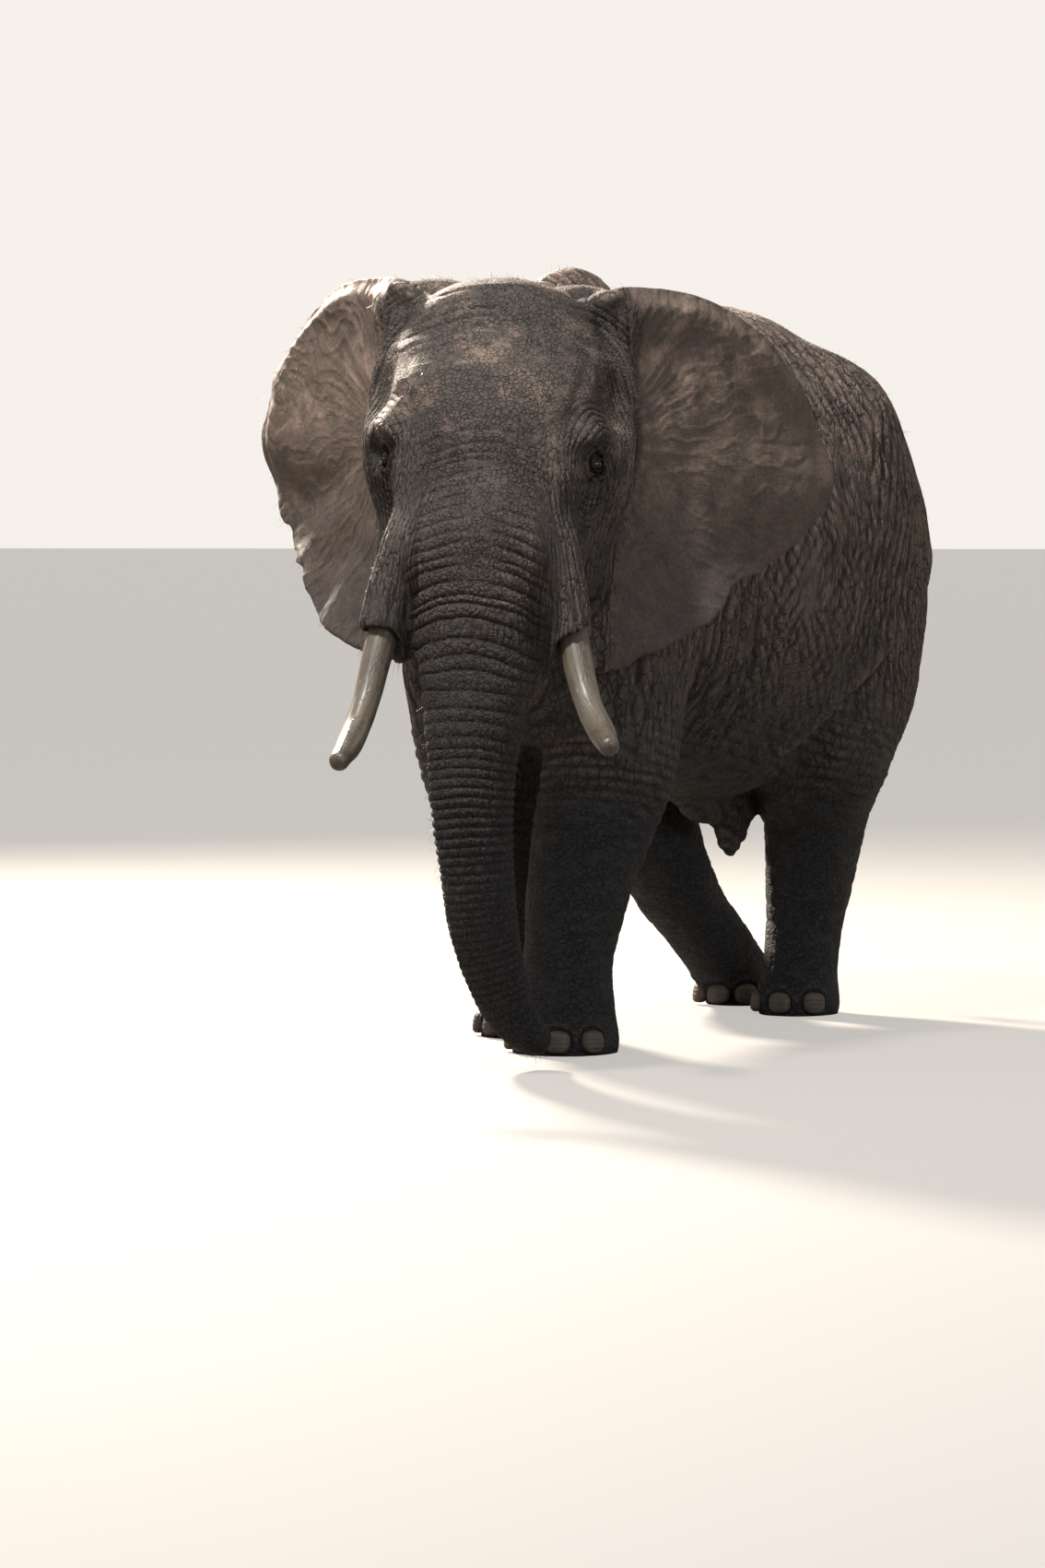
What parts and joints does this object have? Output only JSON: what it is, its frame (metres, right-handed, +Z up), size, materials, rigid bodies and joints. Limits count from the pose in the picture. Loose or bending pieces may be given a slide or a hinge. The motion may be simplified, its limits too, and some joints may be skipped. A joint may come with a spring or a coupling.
{
  "type": "African elephant model",
  "caption": "Life-size standing bull African savanna elephant, walking, head turned to its left, ears spread, tusks out and trunk hanging to the ground.",
  "frame": {"origin": "on the floor, at the middle of the model's footprint", "axes": "+Z up; the body faces -Y; +X is the animal's own left"},
  "size_m": [2.4752, 4.5824, 3.2746],
  "materials": {
    "hide": "deeply wrinkled dusty grey-brown hide",
    "ivory": "worn, stained tusk ivory",
    "eye": "wet dark brown eye",
    "nail": "rough dusty horn",
    "hair": "coarse black bristle"
  },
  "bodies": {
    "root": {"torso": "hide", "foreleg_left": "hide", "forefoot_left": "hide", "foreleg_right": "hide", "forefoot_right": "hide", "hind_leg_left": "hide", "hind_foot_left": "hide", "hind_leg_right": "hide", "hind_foot_right": "hide", "neck": "hide", "head": "hide", "lower_jaw": "hide", "trunk_root": "hide", "trunk_middle": "hide", "trunk_lower": "hide", "trunk_tip": "hide", "ear_left": "hide", "tusk_left": "ivory", "eye_left": "eye", "ear_right": "hide", "tusk_right": "ivory", "eye_right": "eye", "tail": "hide", "tail_tuft": "hair", "forefoot_left_nail_1": "nail", "forefoot_left_nail_2": "nail", "forefoot_left_nail_3": "nail", "forefoot_left_nail_4": "nail", "forefoot_right_nail_1": "nail", "forefoot_right_nail_2": "nail", "forefoot_right_nail_3": "nail", "forefoot_right_nail_4": "nail", "hind_foot_left_nail_1": "nail", "hind_foot_left_nail_2": "nail", "hind_foot_left_nail_3": "nail", "hind_foot_right_nail_1": "nail", "hind_foot_right_nail_2": "nail", "hind_foot_right_nail_3": "nail"}
  },
  "joints": []
}
